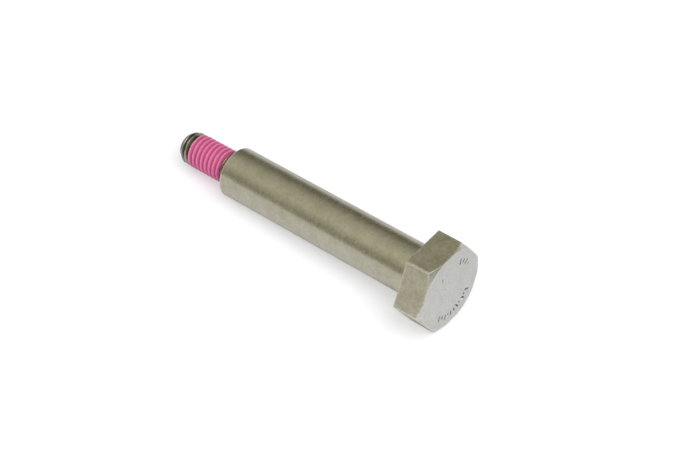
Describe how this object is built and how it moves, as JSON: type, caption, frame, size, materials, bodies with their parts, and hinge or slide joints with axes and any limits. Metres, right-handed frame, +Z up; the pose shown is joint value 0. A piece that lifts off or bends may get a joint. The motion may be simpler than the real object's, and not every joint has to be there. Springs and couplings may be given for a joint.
{
  "type": "shoulder bolt",
  "caption": "Hexagon head shoulder bolt: chamfered hex head, long plain cylindrical shoulder and a short threaded end with a pink thread-locking patch.",
  "frame": {"origin": "on the surface the bolt lies on, under the middle of its length", "axes": "+Z up; +X from the head towards the threaded end, level along the surface; the bolt's own axis lies in the XZ plane and slopes down 3.66 degrees towards +X, because the head is wider than the shoulder"},
  "size_m": [0.0776, 0.0218, 0.0194],
  "materials": {
    "steel": "fine turned and brushed stainless steel, satin",
    "patch": "pink dry adhesive coat, matt to slightly satin"
  },
  "bodies": {
    "root": {"bolt": "steel", "thread_locking_patch": "patch"}
  },
  "joints": []
}
